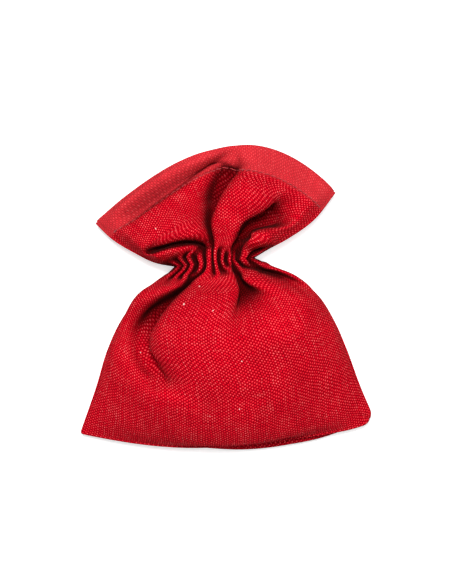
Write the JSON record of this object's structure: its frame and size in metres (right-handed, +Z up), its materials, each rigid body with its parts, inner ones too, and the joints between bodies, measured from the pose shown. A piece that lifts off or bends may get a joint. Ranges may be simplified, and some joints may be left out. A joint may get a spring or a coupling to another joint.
{
  "type": "drawstring pouch",
  "caption": "Small red woven-cloth kinchaku pouch lying on its back, neck gathered on a hidden string, mouth spread as a fan above a puffed body.",
  "frame": {"origin": "middle of the bounding box's underside, on the surface that the pouch lies on", "axes": "+X across the pouch to its right, +Y from the bottom seam to the mouth, +Z up from the surface, out of the front panel"},
  "size_m": [0.0994, 0.1044, 0.04],
  "materials": {
    "pouch_cloth": "matte plain weave",
    "string": "matte twisted cotton"
  },
  "bodies": {
    "root": {"front_panel": "pouch_cloth", "back_panel": "pouch_cloth", "drawstring": "string"}
  },
  "joints": []
}
